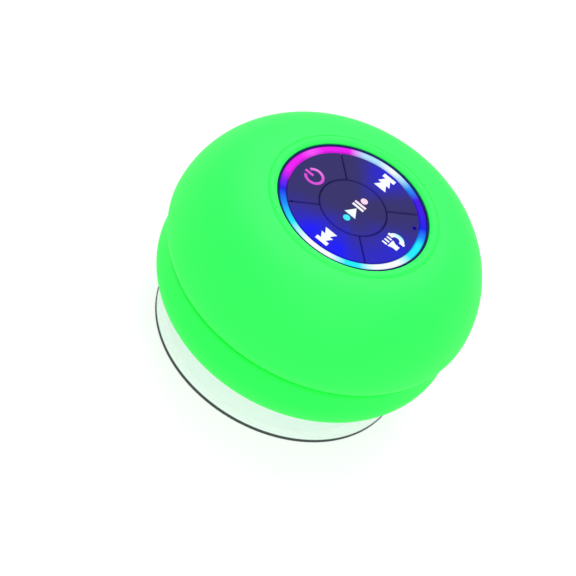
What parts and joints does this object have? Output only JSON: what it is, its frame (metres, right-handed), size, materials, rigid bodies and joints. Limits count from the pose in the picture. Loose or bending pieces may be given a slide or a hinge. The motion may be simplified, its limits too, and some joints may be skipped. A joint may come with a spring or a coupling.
{
  "type": "shower speaker",
  "caption": "Round splash-proof speaker with a lit ring of keys on its dome, a soft green skin and a clear suction cup that turns and pulls off.",
  "frame": {"origin": "centre of the suction cup's rim plane, on the axis of the round body", "axes": "+Z out of the keypad, away from the cup; +X from the previous-track key towards the next-track key; +Y towards the power key and the charging port"},
  "size_m": [0.086, 0.086, 0.0565],
  "materials": {
    "green_silicone": "fine matte silicone, vivid green",
    "green_shell": "soft-touch matte plastic, vivid green",
    "white_shell": "plain moulded ABS, natural white",
    "black_plastic": "fine satin black plastic",
    "light_guide": "milky light guide, lit in changing colours",
    "smoked_key": "smoked translucent plastic, dark violet, satin",
    "symbol_white": "back-lit white inlay",
    "symbol_magenta": "back-lit magenta inlay",
    "clear_pvc": "clear soft PVC, polished",
    "grey_silicone": "plain grey silicone",
    "black_rubber": "matte black rubber",
    "circuit_board": "green solder mask on glass fibre",
    "chip_black": "black epoxy packages and cans",
    "led_white": "white lamp packages with clear resin",
    "connector_cream": "cream nylon",
    "zinc_steel": "bright zinc plate",
    "black_steel": "black-coated pressed steel",
    "magnet": "dark grey sintered magnet",
    "paper": "black pressed paper pulp",
    "copper": "enamelled copper winding on its former",
    "foil": "laminated aluminium pouch",
    "foam": "adhesive foam",
    "mesh_cloth": "black woven acoustic mesh",
    "spider_cloth": "stiffened yellow cotton",
    "wire_red_black": "PVC insulated stranded wire"
  },
  "bodies": {
    "housing": {"dome_skin": "green_silicone", "port_cover_root": "green_silicone", "lower_housing": "green_shell", "bottom_cover": "green_shell", "upper_housing": "white_shell", "collar_retainer": "white_shell", "sound_mesh": "mesh_cloth", "body_gasket": "grey_silicone", "keypad_frame": "black_plastic", "light_ring": "light_guide", "keypad_membrane": "grey_silicone", "keypad_board": "circuit_board", "status_pipe": "symbol_white", "board_spacers": "black_plastic", "board_link": "black_plastic", "main_board": "circuit_board", "board_chips": "chip_black", "rgb_leds": "led_white", "microphone": "zinc_steel", "wire_connectors": "connector_cream", "battery_pad": "foam", "battery": "foil", "driver_gasket": "foam", "driver_frame": "black_steel", "driver_surround": "black_rubber", "driver_spider": "spider_cloth", "driver_top_plate": "zinc_steel", "driver_magnet": "magnet", "driver_yoke": "zinc_steel", "driver_terminals": "connector_cream", "speaker_leads": "wire_red_black", "charging_leads": "wire_red_black", "battery_leads": "wire_red_black", "charging_board": "circuit_board", "usb_socket": "zinc_steel", "housing_screws": "zinc_steel", "cover_screws": "zinc_steel", "retainer_screws": "zinc_steel", "board_screws": "zinc_steel"},
    "play_pause_key": {"play_pause_key": "smoked_key", "play_pause_symbol": "symbol_white", "play_pause_pad": "grey_silicone"},
    "next_key": {"next_key": "smoked_key", "next_symbol": "symbol_white", "next_pad": "grey_silicone"},
    "power_key": {"power_key": "smoked_key", "power_symbol": "symbol_magenta", "power_pad": "grey_silicone"},
    "previous_key": {"previous_key": "smoked_key", "previous_symbol": "symbol_white", "previous_pad": "grey_silicone"},
    "call_light_key": {"call_light_key": "smoked_key", "call_light_symbol": "symbol_white", "call_light_pad": "grey_silicone"},
    "cone": {"driver_cone": "paper", "dust_cap": "paper", "voice_coil": "copper"},
    "port_cover": {"port_cover": "green_silicone"},
    "cup_collar": {"cup_collar": "green_shell"},
    "suction_cup": {"suction_cup": "clear_pvc"}
  },
  "joints": [
    {"name": "play_pause_press", "type": "slide", "parent": "housing", "child": "play_pause_key", "axis": [0, 0, -1], "range_m": [0, 0.00035], "stiffness_N_per_m": 4000},
    {"name": "next_press", "type": "slide", "parent": "housing", "child": "next_key", "axis": [0, 0, -1], "range_m": [0, 0.00035], "stiffness_N_per_m": 4000},
    {"name": "power_press", "type": "slide", "parent": "housing", "child": "power_key", "axis": [0, 0, -1], "range_m": [0, 0.00035], "stiffness_N_per_m": 4000},
    {"name": "previous_press", "type": "slide", "parent": "housing", "child": "previous_key", "axis": [0, 0, -1], "range_m": [0, 0.00035], "stiffness_N_per_m": 4000},
    {"name": "call_light_press", "type": "slide", "parent": "housing", "child": "call_light_key", "axis": [0, 0, -1], "range_m": [0, 0.00035], "stiffness_N_per_m": 4000},
    {"name": "port_cover_hinge", "type": "hinge", "parent": "housing", "child": "port_cover", "pos_m": [0, 0.04, 0.0162], "axis": [-1, 0, 0], "range_deg": [0, 100], "stiffness_Nm_per_rad": 0.002},
    {"name": "collar_turn", "type": "hinge", "parent": "housing", "child": "cup_collar", "pos_m": [0, 0, 0.012], "axis": [0, 0, 1], "continuous": true},
    {"name": "cup_pull", "type": "slide", "parent": "cup_collar", "child": "suction_cup", "axis": [0, 0, -1], "range_m": [0, 0.012]},
    {"name": "cone_travel", "type": "slide", "parent": "housing", "child": "cone", "axis": [0, 0, 1], "range_m": [-0.0008, 0.0008], "stiffness_N_per_m": 1500, "deforming": ["driver_surround", "driver_spider"]}
  ]
}
